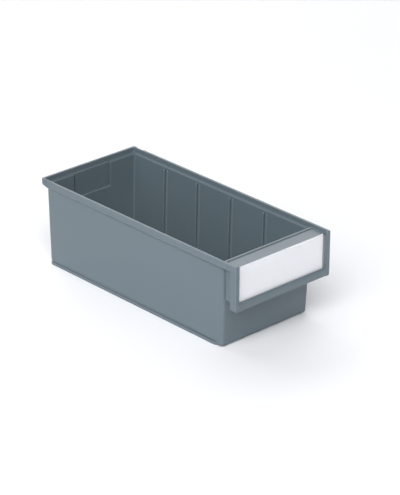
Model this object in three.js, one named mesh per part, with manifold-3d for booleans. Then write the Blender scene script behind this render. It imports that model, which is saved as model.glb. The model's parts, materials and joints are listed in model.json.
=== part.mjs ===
// Stackable storage bin: one moulded plastic bin with a label holder on its front,
// a paper label card and a clear cover that slide up out of the holder.
// Millimetres. +Z up, the front faces -Y, the origin is under the middle of the base.
import * as THREE from 'three';
import Module from 'manifold-3d';
import { mergeVertices } from 'three/addons/utils/BufferGeometryUtils.js';

const wasm = await Module();
wasm.setup();

// Overall size
const LENGTH = 300;
const WIDTH = 132;
const HEIGHT = 100;

// Rim: a thin upright band that stands outside the walls and leaves a stacking ledge inside
const RIM_THICKNESS = 2.7;
const RIM_DEPTH = 6.8;
const RIM_CORNER_RADIUS = 2.4;
const REAR_LIP_DEPTH = 5.5;
const LEDGE_Z = 94.2;
const RIM_NOTCH_START = 134;
const RIM_NOTCH_DEPTH = 1.3;

// Walls, drafted so that they are narrower at the base
const WALL = 2.5;
const WALL_TOP_Z = 88.8;
const WALL_BASE_Z = 5;
const SIDE_TOP_X = 62.6;
const SIDE_BASE_X = 60.4;
const FRONT_TOP_Y = -128.4;
const FRONT_BASE_Y = -125;
const REAR_TOP_Y = 145.4;
const REAR_BASE_Y = 144.6;
const CORNER_RADIUS = 4;
const INNER_RADIUS = 1.8;
const FRONT_WALL_TOP_Z = 97.5;

// Floor and foot ring
const UNDERSIDE_Z = 1.5;
const FLOOR_Z = 3.7;
const FOOT_HEIGHT = 3.2;
const FOOT_X = 60.9;
const FOOT_WIDTH = 3.9;
const FOOT_FRONT_Y = -117;
const FOOT_REAR_Y = 144.2;
const UNDERCUT = 0.9;
const BASE_ROUND = 1.1;
const FLOOR_ROUND = 1.4;

// Divider grooves in each side wall, each between two beads that stand proud of the wall
const GROOVE_COUNT = 4;
const GROOVE_PITCH = 51;
const GROOVE_REAR_Y = 92;
const GROOVE_WIDTH = 2.8;
const GROOVE_DEPTH = 1.7;
const GROOVE_BASE_Z = 6.5;
const GROOVE_TOP_Z = 91.2;
const BEAD_WIDTH = 1.9;
const BEAD_HEIGHT = 0.8;

// Shallow recess in the middle of the rear wall
const RECESS_HALF_WIDTH = 26;
const RECESS_BASE_Z = 66.5;
const RECESS_DEPTH = 1.9;
const RECESS_SLOT_WIDTH = 2.4;
const RECESS_SLOT_DEPTH = 1.7;

// Label holder, which is also the front grip
const FRONT_Y = -LENGTH / 2;
const PLATE_Z = 96.5;
const PLATE_THICKNESS = 2.2;
const HOLDER_BASE_Z = 50;
const BACK_FACE_Y = -145.3;
const BACK_THICKNESS = 2;
const BACK_HALF_WIDTH = 59.5;
const SLOT_FRONT_Y = -147.4;
const POST_INNER_X = 61.3;
const POST_SKIN = 2;
const POST_REAR_Y = -141.2;
const CHEEK_BASE_Z = 55;
const TROUGH_Z = 55;
const LIP_FACE_TOP_Z = 55.4;
const LIP_TOP_Z = 59.2;
const HOLDER_CORNER_RADIUS = 2;
const HOLDER_LIP_ROUND = 0.8;
const HOLDER_TOP_ROUND = 1;

// Label card and clear cover
const CARD_HALF_WIDTH = 59.3;
const CARD_THICKNESS = 0.4;
const CARD_BACK_Y = -145.6;
const CARD_BASE_Z = 55.3;
const CARD_TOP_Z = 97;
const CARD_CORNER = 0.5;
const COVER_HALF_WIDTH = 63.5;
const COVER_THICKNESS = 0.8;
const COVER_BACK_Y = -146.3;
const COVER_TOP_Z = 95.6;
const COVER_CORNER = 1.5;

const OVERLAP = 0.5;
const CORNER_STEPS = 6;
// How far a two-step rounding has come in at its middle, as a share of its radius
const ROUND_MIDDLE = 0.3;

const rimX = WIDTH / 2;
const rimInnerX = rimX - RIM_THICKNESS;
const rearY = LENGTH / 2;
const rimInnerRearY = rearY - RIM_THICKNESS;
const backRearY = BACK_FACE_Y + BACK_THICKNESS;

// ---- solids ----------------------------------------------------------------

function toSolid(geometry) {
  const bare = geometry.index ? geometry.toNonIndexed() : geometry;
  for (const name of Object.keys(bare.attributes)) {
    if (name !== 'position') bare.deleteAttribute(name);
  }
  const merged = mergeVertices(bare, 1e-4);
  return new wasm.Manifold(new wasm.Mesh({
    numProp: 3,
    vertProperties: Float32Array.from(merged.attributes.position.array),
    triVerts: Uint32Array.from(merged.index.array),
  }));
}

function toGeometry(solid) {
  const mesh = solid.getMesh();
  const geometry = new THREE.BufferGeometry();
  geometry.setAttribute('position', new THREE.BufferAttribute(mesh.vertProperties, 3));
  geometry.setIndex(new THREE.BufferAttribute(mesh.triVerts, 1));
  geometry.computeVertexNormals();
  return geometry;
}

// A straight-sided box between two corners
function block(x0, x1, y0, y1, z0, z1) {
  const geometry = new THREE.BoxGeometry(x1 - x0, y1 - y0, z1 - z0);
  geometry.translate((x0 + x1) / 2, (y0 + y1) / 2, (z0 + z1) / 2);
  return toSolid(geometry);
}

// A prism along X whose outline is given in (y, z)
function prismAlongX(outline, x0, x1) {
  const shape = new THREE.Shape(outline.map(([y, z]) => new THREE.Vector2(y, z)));
  const geometry = new THREE.ExtrudeGeometry(shape, { depth: x1 - x0, bevelEnabled: false });
  geometry.applyMatrix4(new THREE.Matrix4().set(
    0, 0, 1, x0,
    1, 0, 0, 0,
    0, 1, 0, 0,
    0, 0, 0, 1,
  ));
  return toSolid(geometry);
}

// A prism along Y whose outline is given in (x, z)
function prismAlongY(outline, y0, y1) {
  const shape = new THREE.Shape(outline.map(([x, z]) => new THREE.Vector2(x, z)));
  const geometry = new THREE.ExtrudeGeometry(shape, { depth: y1 - y0, bevelEnabled: false });
  geometry.applyMatrix4(new THREE.Matrix4().set(
    1, 0, 0, 0,
    0, 0, -1, y1,
    0, 1, 0, 0,
    0, 0, 0, 1,
  ));
  return toSolid(geometry);
}

// One rounded rectangle, as points going anticlockwise
function roundedRing({ halfX, y0, y1, radius, z }) {
  const corners = [
    [halfX - radius, y0 + radius, -Math.PI / 2],
    [halfX - radius, y1 - radius, 0],
    [-halfX + radius, y1 - radius, Math.PI / 2],
    [-halfX + radius, y0 + radius, Math.PI],
  ];
  const points = [];
  for (const [cx, cy, start] of corners) {
    for (let i = 0; i <= CORNER_STEPS; i += 1) {
      const angle = start + (i / CORNER_STEPS) * (Math.PI / 2);
      points.push([cx + radius * Math.cos(angle), cy + radius * Math.sin(angle), z]);
    }
  }
  return points;
}

// A closed solid through a stack of rounded rectangles, from the lowest to the highest
function loft(sections) {
  const rings = sections.map(roundedRing);
  const count = rings[0].length;
  const positions = rings.flat(2);
  const triangles = [];
  for (let level = 0; level + 1 < rings.length; level += 1) {
    for (let i = 0; i < count; i += 1) {
      const a = level * count + i;
      const b = level * count + ((i + 1) % count);
      triangles.push(a, b, b + count, a, b + count, a + count);
    }
  }
  const top = (rings.length - 1) * count;
  for (let i = 1; i + 1 < count; i += 1) {
    triangles.push(0, i + 1, i, top, top + i, top + i + 1);
  }
  const geometry = new THREE.BufferGeometry();
  geometry.setAttribute('position', new THREE.Float32BufferAttribute(positions, 3));
  geometry.setIndex(triangles);
  return toSolid(geometry);
}

function joinAll(solids) {
  return solids.reduce((whole, solid) => whole.add(solid));
}

// The same solid on both sides of the middle plane
function bothSides(makeSolid) {
  return joinAll([makeSolid(1), makeSolid(-1)]);
}

function sideBlock(side, x0, x1, y0, y1, z0, z1) {
  return block(Math.min(side * x0, side * x1), Math.max(side * x0, side * x1), y0, y1, z0, z1);
}

// ---- tray ------------------------------------------------------------------

// Outside of the walls at height z
function wallSection(z, inset, radius) {
  const share = (z - WALL_BASE_Z) / (WALL_TOP_Z - WALL_BASE_Z);
  return {
    halfX: THREE.MathUtils.lerp(SIDE_BASE_X, SIDE_TOP_X, share) - inset,
    y0: THREE.MathUtils.lerp(FRONT_BASE_Y, FRONT_TOP_Y, share) + inset,
    y1: THREE.MathUtils.lerp(REAR_BASE_Y, REAR_TOP_Y, share) - inset,
    radius,
    z,
  };
}

// Walls, the flare under the rim, and the rim itself with its two bands that run on to the front
function makeOuterTray() {
  const middle = BASE_ROUND * ROUND_MIDDLE;
  const walls = loft([
    wallSection(UNDERSIDE_Z, BASE_ROUND, CORNER_RADIUS - BASE_ROUND),
    wallSection(UNDERSIDE_Z + middle, middle, CORNER_RADIUS - middle),
    wallSection(UNDERSIDE_Z + BASE_ROUND, 0, CORNER_RADIUS),
    wallSection(WALL_TOP_Z, 0, CORNER_RADIUS),
  ]);
  const bandBaseZ = HEIGHT - RIM_DEPTH;
  const lipBaseZ = HEIGHT - REAR_LIP_DEPTH;
  const flareShare = (bandBaseZ - WALL_TOP_Z) / (lipBaseZ - WALL_TOP_Z);
  const bandRearY = THREE.MathUtils.lerp(REAR_TOP_Y, rearY, flareShare);
  const rimFrontY = wallSection(FRONT_WALL_TOP_Z, 0, 0).y0;
  const rim = loft([
    wallSection(WALL_TOP_Z, 0, CORNER_RADIUS),
    { halfX: rimX, y0: rimFrontY, y1: bandRearY, radius: RIM_CORNER_RADIUS, z: bandBaseZ },
    { halfX: rimX, y0: rimFrontY, y1: rearY, radius: RIM_CORNER_RADIUS, z: lipBaseZ },
    { halfX: rimX, y0: rimFrontY, y1: rearY, radius: RIM_CORNER_RADIUS, z: HEIGHT },
  ]);
  const bands = bothSides((side) => prismAlongY([
    [side * rimInnerX, HEIGHT],
    [side * rimInnerX, bandBaseZ - RIM_THICKNESS],
    [side * rimX, bandBaseZ],
    [side * rimX, HEIGHT],
  ], FRONT_Y, FOOT_FRONT_Y));
  return joinAll([walls, rim, bands]);
}

// The space inside: the bin below the ledge, and the wider stacking recess above it
function makeTrayCavity() {
  const middle = FLOOR_ROUND * ROUND_MIDDLE;
  const bin = loft([
    wallSection(FLOOR_Z, WALL + FLOOR_ROUND, INNER_RADIUS),
    wallSection(FLOOR_Z + middle, WALL + middle, INNER_RADIUS),
    wallSection(FLOOR_Z + FLOOR_ROUND, WALL, INNER_RADIUS),
    wallSection(LEDGE_Z + OVERLAP, WALL, INNER_RADIUS),
  ]);
  const frontInnerY = wallSection(LEDGE_Z, WALL, INNER_RADIUS).y0;
  const stackingSpace = { halfX: rimInnerX, y0: frontInnerY, y1: rimInnerRearY, radius: INNER_RADIUS };
  const stacking = loft([
    { ...stackingSpace, z: LEDGE_Z },
    { ...stackingSpace, z: HEIGHT + OVERLAP },
  ]);
  const overFrontWall = block(-rimInnerX, rimInnerX, FRONT_Y - OVERLAP, frontInnerY + INNER_RADIUS,
    FRONT_WALL_TOP_Z, HEIGHT + OVERLAP);
  return joinAll([bin, stacking, overFrontWall]);
}

// The ring that the bin stands on, and the shadow groove between it and the walls
function makeFoot() {
  const foot = { halfX: FOOT_X, y0: FOOT_FRONT_Y, y1: FOOT_REAR_Y, radius: CORNER_RADIUS };
  const outer = loft([{ ...foot, z: 0 }, { ...foot, z: FOOT_HEIGHT }]);
  const inside = {
    halfX: FOOT_X - FOOT_WIDTH,
    y0: FOOT_FRONT_Y + FOOT_WIDTH,
    y1: FOOT_REAR_Y - FOOT_WIDTH,
    radius: INNER_RADIUS,
  };
  const hollow = loft([{ ...inside, z: -OVERLAP }, { ...inside, z: UNDERSIDE_Z + OVERLAP }]);
  return outer.subtract(hollow);
}

function makeUndercut() {
  const wide = { halfX: WIDTH, y0: FOOT_FRONT_Y, y1: LENGTH, radius: 1 };
  const kept = {
    halfX: SIDE_BASE_X - UNDERCUT,
    y0: FRONT_Y,
    y1: REAR_BASE_Y - UNDERCUT,
    radius: CORNER_RADIUS,
  };
  const around = loft([{ ...wide, z: FOOT_HEIGHT }, { ...wide, z: WALL_BASE_Z }]);
  return around.subtract(loft([
    { ...kept, z: FOOT_HEIGHT - OVERLAP },
    { ...kept, z: WALL_BASE_Z + OVERLAP },
  ]));
}

// Inner face of the side walls at height z
function innerX(z) {
  return wallSection(z, WALL, INNER_RADIUS).halfX;
}

// The same solid at each divider's place along both side walls
function atEachDivider(makeSolid) {
  const solids = [];
  for (let i = 0; i < GROOVE_COUNT; i += 1) {
    const y = GROOVE_REAR_Y - i * GROOVE_PITCH;
    solids.push(bothSides((side) => makeSolid(side, y)));
  }
  return joinAll(solids);
}

// The raised strip on the inside of the wall that each groove is cut in
function makeDividerBeads() {
  const shoulderZ = GROOVE_TOP_Z - BEAD_HEIGHT;
  const reach = GROOVE_WIDTH / 2 + BEAD_WIDTH;
  return atEachDivider((side, y) => prismAlongY([
    [side * (innerX(FLOOR_Z) - BEAD_HEIGHT), FLOOR_Z - OVERLAP],
    [side * (innerX(FLOOR_Z) + OVERLAP), FLOOR_Z - OVERLAP],
    [side * (innerX(GROOVE_TOP_Z) + OVERLAP), GROOVE_TOP_Z],
    [side * innerX(GROOVE_TOP_Z), GROOVE_TOP_Z],
    [side * (innerX(shoulderZ) - BEAD_HEIGHT), shoulderZ],
  ], y - reach, y + reach));
}

// Grooves that hold the ends of cross dividers, closed at the bottom above the foot
function makeDividerGrooves() {
  const shoulderZ = GROOVE_TOP_Z - GROOVE_DEPTH;
  return atEachDivider((side, y) => prismAlongY([
    [side * (innerX(GROOVE_BASE_Z) - BEAD_HEIGHT - OVERLAP), GROOVE_BASE_Z],
    [side * (innerX(GROOVE_BASE_Z) + GROOVE_DEPTH), GROOVE_BASE_Z],
    [side * (innerX(shoulderZ) + GROOVE_DEPTH), shoulderZ],
    [side * innerX(GROOVE_TOP_Z), GROOVE_TOP_Z],
    [side * (innerX(GROOVE_TOP_Z) - BEAD_HEIGHT - OVERLAP), GROOVE_TOP_Z],
  ], y - GROOVE_WIDTH / 2, y + GROOVE_WIDTH / 2));
}

// The rear wall is stepped back behind its recess, so it keeps its thickness
function makeRecessPad() {
  const padHalfX = RECESS_HALF_WIDTH + WALL;
  const padBaseZ = RECESS_BASE_Z - WALL;
  const padY = REAR_TOP_Y + RECESS_DEPTH;
  return prismAlongX([
    [REAR_TOP_Y - WALL / 2, padBaseZ - WALL],
    [padY, padBaseZ + RECESS_DEPTH / 2],
    [padY, LEDGE_Z],
    [REAR_TOP_Y - WALL / 2, LEDGE_Z],
  ], -padHalfX, padHalfX);
}

// The recess, with a deeper slot along each of its upright edges
function makeRecess() {
  const faceY = REAR_TOP_Y - WALL;
  const topZ = LEDGE_Z + OVERLAP;
  const openY = faceY - 2 * OVERLAP;
  const slots = bothSides((side) => sideBlock(side, RECESS_HALF_WIDTH - RECESS_SLOT_WIDTH,
    RECESS_HALF_WIDTH, openY, faceY + RECESS_DEPTH + RECESS_SLOT_DEPTH, RECESS_BASE_Z, topZ));
  return slots.add(block(-RECESS_HALF_WIDTH, RECESS_HALF_WIDTH, openY, faceY + RECESS_DEPTH,
    RECESS_BASE_Z, topZ));
}

function makeRimNotches() {
  return bothSides((side) => sideBlock(side, rimX - RIM_NOTCH_DEPTH, rimX + OVERLAP,
    RIM_NOTCH_START, REAR_BASE_Y, WALL_TOP_Z, HEIGHT + OVERLAP));
}

// ---- label holder ----------------------------------------------------------

// The rounded bar along the bottom of the holder, with the trough that the card stands in
function makeHolderLip() {
  const outline = [[FRONT_Y, HOLDER_BASE_Z + HOLDER_LIP_ROUND], [FRONT_Y, LIP_FACE_TOP_Z]];
  for (let i = 1; i <= CORNER_STEPS; i += 1) {
    const angle = (i / CORNER_STEPS) * (Math.PI / 2);
    outline.push([
      THREE.MathUtils.lerp(SLOT_FRONT_Y, FRONT_Y, Math.cos(angle)),
      THREE.MathUtils.lerp(LIP_FACE_TOP_Z, LIP_TOP_Z, Math.sin(angle)),
    ]);
  }
  outline.push(
    [SLOT_FRONT_Y, TROUGH_Z],
    [backRearY, TROUGH_Z],
    [backRearY, HOLDER_BASE_Z],
    [FRONT_Y + HOLDER_LIP_ROUND, HOLDER_BASE_Z],
  );
  return prismAlongX(outline, -rimX, rimX);
}

function makeHolder() {
  const joinY = FRONT_TOP_Y + OVERLAP;
  const joinZ = PLATE_Z - PLATE_THICKNESS + OVERLAP;
  const topPlate = block(-rimInnerX - OVERLAP, rimInnerX + OVERLAP, BACK_FACE_Y, joinY,
    PLATE_Z - PLATE_THICKNESS, PLATE_Z);
  const backPlate = block(-BACK_HALF_WIDTH, BACK_HALF_WIDTH, BACK_FACE_Y, backRearY,
    TROUGH_Z - OVERLAP, joinZ);
  const sides = bothSides((side) => joinAll([
    sideBlock(side, BACK_HALF_WIDTH - BACK_THICKNESS, BACK_HALF_WIDTH,
      backRearY - OVERLAP, joinY, CHEEK_BASE_Z, joinZ),
    sideBlock(side, BACK_HALF_WIDTH - BACK_THICKNESS, rimX,
      backRearY, POST_REAR_Y, HOLDER_BASE_Z, joinZ),
    sideBlock(side, rimX - POST_SKIN, rimX, FRONT_Y, POST_REAR_Y, HOLDER_BASE_Z, HEIGHT),
    sideBlock(side, POST_INNER_X, rimX, FRONT_Y, SLOT_FRONT_Y, HOLDER_BASE_Z, HEIGHT),
  ]));
  return joinAll([makeHolderLip(), topPlate, backPlate, sides]);
}

// The upright slot that the card and the cover slide in, open at the top
function makeLabelSlot() {
  const slotHalfX = rimX - POST_SKIN;
  return block(-slotHalfX, slotHalfX, SLOT_FRONT_Y, BACK_FACE_Y, TROUGH_Z, HEIGHT + OVERLAP);
}

// What is cut off the two lower corners and the top front edge of the holder to round them
function makeHolderRounding() {
  const radius = HOLDER_CORNER_RADIUS;
  const corners = bothSides((side) => {
    const outline = [
      [side * (rimX - radius), HOLDER_BASE_Z - OVERLAP],
      [side * (rimX + OVERLAP), HOLDER_BASE_Z - OVERLAP],
      [side * (rimX + OVERLAP), HOLDER_BASE_Z + radius],
    ];
    for (let i = 0; i <= CORNER_STEPS; i += 1) {
      const angle = (i / CORNER_STEPS) * (Math.PI / 2);
      outline.push([
        side * (rimX - radius + radius * Math.cos(angle)),
        HOLDER_BASE_Z + radius - radius * Math.sin(angle),
      ]);
    }
    return prismAlongY(outline, FRONT_Y - OVERLAP, POST_REAR_Y + OVERLAP);
  });
  const edge = HOLDER_TOP_ROUND;
  const topEdge = prismAlongX([
    [FRONT_Y - OVERLAP, HEIGHT - edge],
    [FRONT_Y, HEIGHT - edge],
    [FRONT_Y + edge * ROUND_MIDDLE, HEIGHT - edge * ROUND_MIDDLE],
    [FRONT_Y + edge, HEIGHT],
    [FRONT_Y + edge, HEIGHT + OVERLAP],
    [FRONT_Y - OVERLAP, HEIGHT + OVERLAP],
  ], -rimX - OVERLAP, rimX + OVERLAP);
  return corners.add(topEdge);
}

function makeBinBody() {
  return makeOuterTray()
    .add(makeRecessPad())
    .subtract(makeTrayCavity())
    .subtract(makeUndercut())
    .add(makeFoot())
    .add(makeDividerBeads())
    .subtract(makeDividerGrooves())
    .subtract(makeRecess())
    .subtract(makeRimNotches())
    .add(makeHolder())
    .subtract(makeLabelSlot())
    .subtract(makeHolderRounding());
}

// ---- card and cover --------------------------------------------------------

// A flat upright sheet with its top corners cut, standing in the trough
function makeSheet(halfWidth, thickness, backY, topZ, corner) {
  return prismAlongY([
    [-halfWidth, CARD_BASE_Z],
    [halfWidth, CARD_BASE_Z],
    [halfWidth, topZ - corner],
    [halfWidth - corner, topZ],
    [-halfWidth + corner, topZ],
    [-halfWidth, topZ - corner],
  ], backY - thickness, backY);
}

// ---- assembly --------------------------------------------------------------

const BIN_LOOK = { color: 0x5c6970, roughness: 0.5, metalness: 0 };
const CARD_LOOK = { color: 0xf2f3f5, roughness: 0.85, metalness: 0 };
const COVER_LOOK = { color: 0xeef3f6, roughness: 0.1, metalness: 0, transparent: true, opacity: 0.3 };

function addPiece(group, name, solid, look) {
  const mesh = new THREE.Mesh(toGeometry(solid), new THREE.MeshStandardMaterial(look));
  mesh.name = name;
  group.add(mesh);
}

const bin = new THREE.Group();
bin.name = 'stackable_storage_bin';
addPiece(bin, 'bin_body', makeBinBody(), BIN_LOOK);
addPiece(bin, 'label_card',
  makeSheet(CARD_HALF_WIDTH, CARD_THICKNESS, CARD_BACK_Y, CARD_TOP_Z, CARD_CORNER), CARD_LOOK);
addPiece(bin, 'label_cover',
  makeSheet(COVER_HALF_WIDTH, COVER_THICKNESS, COVER_BACK_Y, COVER_TOP_Z, COVER_CORNER), COVER_LOOK);

export default bin;
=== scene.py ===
import json
import math

import bmesh
import bpy
from mathutils import Matrix, Vector

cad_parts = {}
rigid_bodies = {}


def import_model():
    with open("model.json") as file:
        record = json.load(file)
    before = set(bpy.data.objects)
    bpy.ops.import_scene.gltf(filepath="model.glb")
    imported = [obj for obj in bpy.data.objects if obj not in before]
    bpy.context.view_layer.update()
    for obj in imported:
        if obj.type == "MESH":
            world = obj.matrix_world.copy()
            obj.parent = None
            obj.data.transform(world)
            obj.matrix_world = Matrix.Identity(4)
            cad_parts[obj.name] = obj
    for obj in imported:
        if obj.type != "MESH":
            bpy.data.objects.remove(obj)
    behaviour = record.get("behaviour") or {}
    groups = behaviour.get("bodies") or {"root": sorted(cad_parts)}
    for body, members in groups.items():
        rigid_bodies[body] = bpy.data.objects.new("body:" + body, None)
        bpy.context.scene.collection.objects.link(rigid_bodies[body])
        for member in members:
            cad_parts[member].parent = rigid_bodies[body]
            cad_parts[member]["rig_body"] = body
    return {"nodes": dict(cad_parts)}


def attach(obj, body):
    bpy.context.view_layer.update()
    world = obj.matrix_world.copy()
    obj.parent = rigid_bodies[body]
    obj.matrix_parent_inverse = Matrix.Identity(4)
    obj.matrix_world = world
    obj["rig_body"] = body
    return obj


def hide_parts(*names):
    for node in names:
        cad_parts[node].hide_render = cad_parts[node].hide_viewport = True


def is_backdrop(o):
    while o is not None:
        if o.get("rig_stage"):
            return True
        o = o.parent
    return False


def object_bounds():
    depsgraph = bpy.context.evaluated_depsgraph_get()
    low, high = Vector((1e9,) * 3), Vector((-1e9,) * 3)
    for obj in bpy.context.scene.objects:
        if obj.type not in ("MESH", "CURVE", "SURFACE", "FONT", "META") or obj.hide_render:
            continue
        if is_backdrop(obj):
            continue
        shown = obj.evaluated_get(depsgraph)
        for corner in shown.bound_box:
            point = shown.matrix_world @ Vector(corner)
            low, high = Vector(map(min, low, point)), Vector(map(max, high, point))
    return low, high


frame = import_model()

CAD_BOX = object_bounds()
MM = 0.001

# Camera: a long lens that looks down on the bin from its front left
CAMERA_PLACE = Vector((-1.5853, -1.7220, 1.1445))
CAMERA_AZIMUTH = -43.085
CAMERA_ELEVATION = 25.065
CAMERA_ROLL = 0.36
CAMERA_LENS = 179.7
CAMERA_SENSOR = 36
CAMERA_REACH = 30

# Studio: large soft lights far off, a pale floor, and a white wall all round that reaches
# a little above the horizon
SOFTBOX_SIZE = 3.5
SOFTBOX_DISTANCE = 5.0
FLOOR_HALF = 1.0
WALL_STRENGTH = 1.0
CEILING_STRENGTH = 0.03
WALL_TOP = math.sin(math.radians(4))
WALL_FADE = math.sin(math.radians(8))
# Each soft light: its name, the azimuth and elevation it shines from, and its watts
SOFTBOXES = [
    ("front_left", -45, 45, 250),
    ("left", -90, 30, 78),
    ("behind", 180, 35, 78),
    ("behind_right", 137, 30, 95),
    ("behind_high", 180, 65, 27),
]

# Colours and optical numbers of the materials
PLASTIC_DARKER = (0.120, 0.156, 0.180, 1)
PLASTIC_LIGHTER = (0.124, 0.161, 0.186, 1)
PLASTIC_SPECK = (0.13, 0.163, 0.186, 1)
# Paler colour for rounded edges and proud crests: partly rubbed wear, partly a painted highlight for
# the light these edges catch
PLASTIC_WORN_AND_HIGHLIT = (0.19, 0.225, 0.25, 1)
PAPER_DARKER = (0.79, 0.80, 0.84, 1)
PAPER_LIGHTER = (0.82, 0.83, 0.87, 1)
PAPER_FIBRE = (0.78, 0.79, 0.80, 1)
CLEAR_DARKER = (0.93, 0.95, 0.97, 1)
CLEAR_LIGHTER = (0.97, 0.98, 0.99, 1)
CLEAR_ALPHA = 0.16
FLOOR_DARKER = (0.885, 0.89, 0.92, 1)
FLOOR_LIGHTER = (0.90, 0.905, 0.935, 1)
PLASTIC_INDEX = 1.49

# How each piece's edges are rounded: radius and steps
EDGE_RADIUS = 0.35 * MM
EDGE_STEPS = 2
CARD_EDGE_RADIUS = 0.08 * MM
CARD_EDGE_STEPS = 1
COVER_EDGE_RADIUS = 0.15 * MM
COVER_EDGE_STEPS = 2
EDGE_ANGLE = math.radians(25)
SMOOTH_ANGLE = math.radians(50)

# Points closer than this are one point, and faces flatter than this are one face
MERGE_DISTANCE = 0.02 * MM
FLAT_ANGLE = math.radians(0.5)

# Narrow faces that stand proud get a painted highlight: a paler colour for the light on their crests
CREST_WIDTH = 2.2 * MM
CREST_PAINTED_HIGHLIGHT = 0.5


# ---- nodes of a material ----------------------------------------------------

class Nodes:
    """A short way to write a material's node tree."""

    def __init__(self, name):
        self.material = bpy.data.materials.new(name)
        self.material.use_nodes = True
        self.tree = self.material.node_tree
        self.shader = self.tree.nodes["Principled BSDF"]
        place = self.tree.nodes.new("ShaderNodeTexCoord")
        self.place = place.outputs["Object"]

    def add(self, kind, inputs=None, **settings):
        node = self.tree.nodes.new(kind)
        for key, value in settings.items():
            setattr(node, key, value)
        for key, value in (inputs or {}).items():
            self.put(node.inputs[key], value)
        return node

    def put(self, socket, value):
        if isinstance(value, bpy.types.NodeSocket):
            self.tree.links.new(value, socket)
        else:
            socket.default_value = value

    def noise(self, scale, detail=2.0, stretch=(1, 1, 1)):
        spread = self.add("ShaderNodeMapping", {"Vector": self.place, "Scale": stretch})
        noise = self.add(
            "ShaderNodeTexNoise",
            {"Vector": spread.outputs["Vector"], "Scale": scale, "Detail": detail},
        )
        return noise.outputs["Fac"]

    def span(self, value, low, high, start=0.0, end=1.0):
        """value from start to end becomes low to high."""
        node = self.add(
            "ShaderNodeMapRange",
            {"Value": value, "From Min": start, "From Max": end, "To Min": low, "To Max": high},
        )
        return node.outputs["Result"]

    def mix(self, share, first, second):
        node = self.add("ShaderNodeMix", data_type="RGBA")
        self.put(node.inputs["Factor"], share)
        self.put(node.inputs["A"], first)
        self.put(node.inputs["B"], second)
        return node.outputs["Result"]

    def sum(self, first, second, operation="ADD"):
        node = self.add("ShaderNodeMath", operation=operation)
        self.put(node.inputs[0], first)
        self.put(node.inputs[1], second)
        return node.outputs["Value"]

    def bump(self, height, distance, strength=1.0):
        node = self.add(
            "ShaderNodeBump", {"Height": height, "Distance": distance, "Strength": strength}
        )
        self.put(self.shader.inputs["Normal"], node.outputs["Normal"])


def bin_plastic():
    """Blue-grey moulded polypropylene: fine grain, faint flow mottling, paler edges that are partly
    wear and partly painted highlight.
    """
    n = Nodes("bin_plastic")
    mottle = n.noise(14, 3, (1, 0.4, 1))
    body = n.mix(n.span(mottle, 0, 1, 0.3, 0.7), PLASTIC_DARKER, PLASTIC_LIGHTER)
    speck = n.noise(1400, 1)
    body = n.mix(n.span(speck, 0, 0.25, 0.66, 0.8), body, PLASTIC_SPECK)
    # Rounded edges and proud crests are painted paler: partly wear, partly painted highlight
    wear_and_highlight = n.add("ShaderNodeAttribute", attribute_name="edge_wear_and_highlight").outputs["Fac"]
    patchy = n.span(n.noise(240, 4), 0.55, 1, 0.3, 0.65)
    worn_and_highlit = n.sum(wear_and_highlight, patchy, "MULTIPLY")
    body = n.mix(n.sum(worn_and_highlit, 0.6, "MULTIPLY"), body, PLASTIC_WORN_AND_HIGHLIT)
    n.put(n.shader.inputs["Base Color"], body)
    rub = n.noise(50, 4, (1, 0.25, 1))
    n.put(n.shader.inputs["Roughness"], n.span(rub, 0.435, 0.45, 0.3, 0.7))
    n.put(n.shader.inputs["IOR"], PLASTIC_INDEX)
    n.bump(n.noise(2600, 1), 0.004 * MM)
    return n.material


def card_paper():
    """Smooth white card: faint fibres and cloudiness."""
    n = Nodes("card_paper")
    cloud = n.noise(120, 3)
    fibre = n.noise(1500, 3, (1, 1, 0.2))
    tone = n.mix(n.span(cloud, 0, 1, 0.3, 0.7), PAPER_DARKER, PAPER_LIGHTER)
    tone = n.mix(n.span(fibre, 0, 0.25, 0.55, 0.75), tone, PAPER_FIBRE)
    n.put(n.shader.inputs["Base Color"], tone)
    n.put(n.shader.inputs["Roughness"], n.span(fibre, 0.78, 0.92))
    n.put(n.shader.inputs["Specular IOR Level"], 0.25)
    n.bump(fibre, 0.02 * MM)
    return n.material


def clear_sheet():
    """Clear glossy plastic: seen through, with faint handling marks in its gloss."""
    n = Nodes("clear_sheet")
    haze = n.noise(60, 4, (1, 1, 0.4))
    scratch = n.noise(500, 2, (0.06, 1, 1))
    n.put(n.shader.inputs["Base Color"], n.mix(haze, CLEAR_DARKER, CLEAR_LIGHTER))
    n.put(n.shader.inputs["Roughness"], n.span(n.sum(haze, scratch), 0.04, 0.16, 0.7, 1.3))
    n.put(n.shader.inputs["IOR"], PLASTIC_INDEX)
    n.put(n.shader.inputs["Alpha"], CLEAR_ALPHA)
    n.bump(haze, 0.03 * MM)
    return n.material


# ---- meshes -----------------------------------------------------------------

def clean_mesh(node):
    """The CAD node's surface as a mesh of whole flat faces."""
    bm = bmesh.new()
    bm.from_mesh(frame["nodes"][node].data)
    bmesh.ops.remove_doubles(bm, verts=bm.verts, dist=MERGE_DISTANCE)
    bmesh.ops.dissolve_limit(
        bm, angle_limit=FLAT_ANGLE, verts=bm.verts, edges=bm.edges, delimit=set()
    )
    return bm


def sharp_edges(bm, angle):
    return [e for e in bm.edges if e.is_manifold and e.calc_face_angle() > angle]


def is_crest(face):
    """True for a narrow flat face that stands proud: its two long edges both turn away."""
    around = sum(edge.calc_length() for edge in face.edges)
    longest = sorted(face.edges, key=lambda edge: edge.calc_length())[-2:]
    sharp = all(e.is_manifold and e.calc_face_angle() > EDGE_ANGLE for e in longest)
    narrow = 2 * face.calc_area() / around < CREST_WIDTH
    return narrow and sharp and all(e.is_convex for e in longest)


def box_of(bm):
    spots = [vertex.co for vertex in bm.verts]
    low = Vector(min(spot[axis] for spot in spots) for axis in range(3))
    high = Vector(max(spot[axis] for spot in spots) for axis in range(3))
    return low, high


def keep_inside(bm, low, high):
    """Brings back whatever a rounded corner has pushed out of the box."""
    for vertex in bm.verts:
        for axis in range(3):
            vertex.co[axis] = max(low[axis], min(high[axis], vertex.co[axis]))


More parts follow.
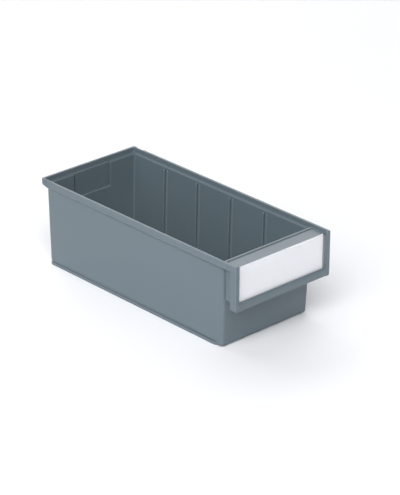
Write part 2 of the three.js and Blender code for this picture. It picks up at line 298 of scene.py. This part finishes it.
def rounded_piece(name, node, material, radius, steps):
    """The CAD node with every moulded edge rounded. Its rounded edges are painted paler, partly as
    wear and partly as highlight, and what stands proud gets a weaker painted highlight.
    """
    bm = clean_mesh(node)
    low, high = box_of(bm)
    wear_and_highlight = bm.verts.layers.float.new("edge_wear_and_highlight")
    crest = bm.faces.layers.int.new("crest")
    for face in bm.faces:
        face[crest] = is_crest(face)
    result = bmesh.ops.bevel(
        bm,
        geom=sharp_edges(bm, EDGE_ANGLE),
        offset=radius,
        offset_type="OFFSET",
        segments=steps,
        profile=0.5,
        affect="EDGES",
        clamp_overlap=False,
        miter_outer="ARC",
        material=-1,
    )
    keep_inside(bm, low, high)
    # Rounded faces get full paleness (partly wear, partly painted highlight), and the flats of proud
    # crests get a weaker painted highlight
    rounding = set(result["faces"])
    for vertex in bm.verts:
        flats = [face for face in vertex.link_faces if face not in rounding]
        if not flats:
            vertex[wear_and_highlight] = 1.0
        elif any(face[crest] for face in flats):
            vertex[wear_and_highlight] = CREST_PAINTED_HIGHLIGHT
    bmesh.ops.triangulate(bm, faces=[f for f in bm.faces if len(f.verts) > 4])
    return finished(name, bm, node, material)


def finished(name, bm, node, material):
    """A Blender object from the mesh, which rides on the node's body and stands for it."""
    bmesh.ops.recalc_face_normals(bm, faces=bm.faces)
    for face in bm.faces:
        face.smooth = True
    mesh = bpy.data.meshes.new(name)
    bm.to_mesh(mesh)
    bm.free()
    mesh.materials.append(material)
    mesh.set_sharp_from_angle(angle=SMOOTH_ANGLE)
    piece = bpy.data.objects.new(name, mesh)
    bpy.context.scene.collection.objects.link(piece)
    flatten = piece.modifiers.new("flat_faces_stay_flat", "WEIGHTED_NORMAL")
    flatten.keep_sharp = True
    flatten.weight = 100
    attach(piece, frame["nodes"][node]["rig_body"])
    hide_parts(node)
    return piece


# ---- stage, light and camera ------------------------------------------------

def make_floor():
    n = Nodes("floor_white")
    cloud = n.noise(3, 2)
    n.put(n.shader.inputs["Base Color"], n.mix(cloud, FLOOR_DARKER, FLOOR_LIGHTER))
    n.put(n.shader.inputs["Roughness"], 0.9)
    mesh = bpy.data.meshes.new("floor")
    half = FLOOR_HALF
    corners = [(-half, -half, 0), (half, -half, 0), (half, half, 0), (-half, half, 0)]
    mesh.from_pydata(corners, [], [(0, 1, 2, 3)])
    mesh.materials.append(n.material)
    floor = bpy.data.objects.new("floor", mesh)
    bpy.context.scene.collection.objects.link(floor)
    floor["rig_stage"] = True


def direction(azimuth, elevation):
    """From the bin towards a place round it, in degrees. Azimuth 0 is the front, 90 the +X side."""
    a, e = math.radians(azimuth), math.radians(elevation)
    return Vector((math.sin(a) * math.cos(e), -math.cos(a) * math.cos(e), math.sin(e)))


def softbox(name, azimuth, elevation, power):
    """A square area light that faces the bin."""
    light = bpy.data.lights.new(name, "AREA")
    light.shape = "SQUARE"
    light.size = SOFTBOX_SIZE
    light.energy = power
    lamp = bpy.data.objects.new(name, light)
    back = direction(azimuth, elevation)
    middle = (CAD_BOX[0] + CAD_BOX[1]) / 2
    lamp.location = middle + back * SOFTBOX_DISTANCE
    lamp.rotation_euler = back.to_track_quat("Z", "Y").to_euler()
    bpy.context.scene.collection.objects.link(lamp)


def make_world():
    """White up to a little above the horizon, fading to a dim ceiling."""
    world = bpy.data.worlds.new("studio")
    world.use_nodes = True
    tree = world.node_tree
    place = tree.nodes.new("ShaderNodeTexCoord")
    height = tree.nodes.new("ShaderNodeSeparateXYZ")
    fade = tree.nodes.new("ShaderNodeMapRange")
    tree.links.new(place.outputs["Generated"], height.inputs["Vector"])
    tree.links.new(height.outputs["Z"], fade.inputs["Value"])
    fade.interpolation_type = "SMOOTHSTEP"
    fade.inputs["From Min"].default_value = WALL_TOP
    fade.inputs["From Max"].default_value = WALL_FADE
    fade.inputs["To Min"].default_value = WALL_STRENGTH
    fade.inputs["To Max"].default_value = CEILING_STRENGTH
    background = tree.nodes["Background"]
    background.inputs["Color"].default_value = (1, 1, 1, 1)
    tree.links.new(fade.outputs["Result"], background.inputs["Strength"])
    bpy.context.scene.world = world


def make_light():
    make_world()
    for name, azimuth, elevation, watts in SOFTBOXES:
        softbox(name, azimuth, elevation, watts)
    bpy.context.scene.view_settings.view_transform = "Standard"


def make_camera():
    back = direction(CAMERA_AZIMUTH, CAMERA_ELEVATION)
    right = direction(CAMERA_AZIMUTH + 90, 0)
    up = back.cross(right)
    roll = Matrix.Rotation(math.radians(CAMERA_ROLL), 3, "Z")
    turn = Matrix((right, up, back)).transposed() @ roll
    data = bpy.data.cameras.new("camera")
    data.lens = CAMERA_LENS
    data.sensor_width = CAMERA_SENSOR
    data.clip_end = CAMERA_REACH
    camera = bpy.data.objects.new("camera", data)
    camera.matrix_world = Matrix.Translation(CAMERA_PLACE) @ turn.to_4x4()
    bpy.context.scene.collection.objects.link(camera)
    bpy.context.scene.camera = camera


make_camera()
make_light()
make_floor()
rounded_piece("bin_body_moulded", "bin_body", bin_plastic(), EDGE_RADIUS, EDGE_STEPS)
rounded_piece("label_card_sheet", "label_card", card_paper(), CARD_EDGE_RADIUS, CARD_EDGE_STEPS)
rounded_piece("label_cover_sheet", "label_cover", clear_sheet(), COVER_EDGE_RADIUS, COVER_EDGE_STEPS)

boxes = {"cad": CAD_BOX, "visual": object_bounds()}
{key: [list(corner) for corner in box] for key, box in boxes.items()}
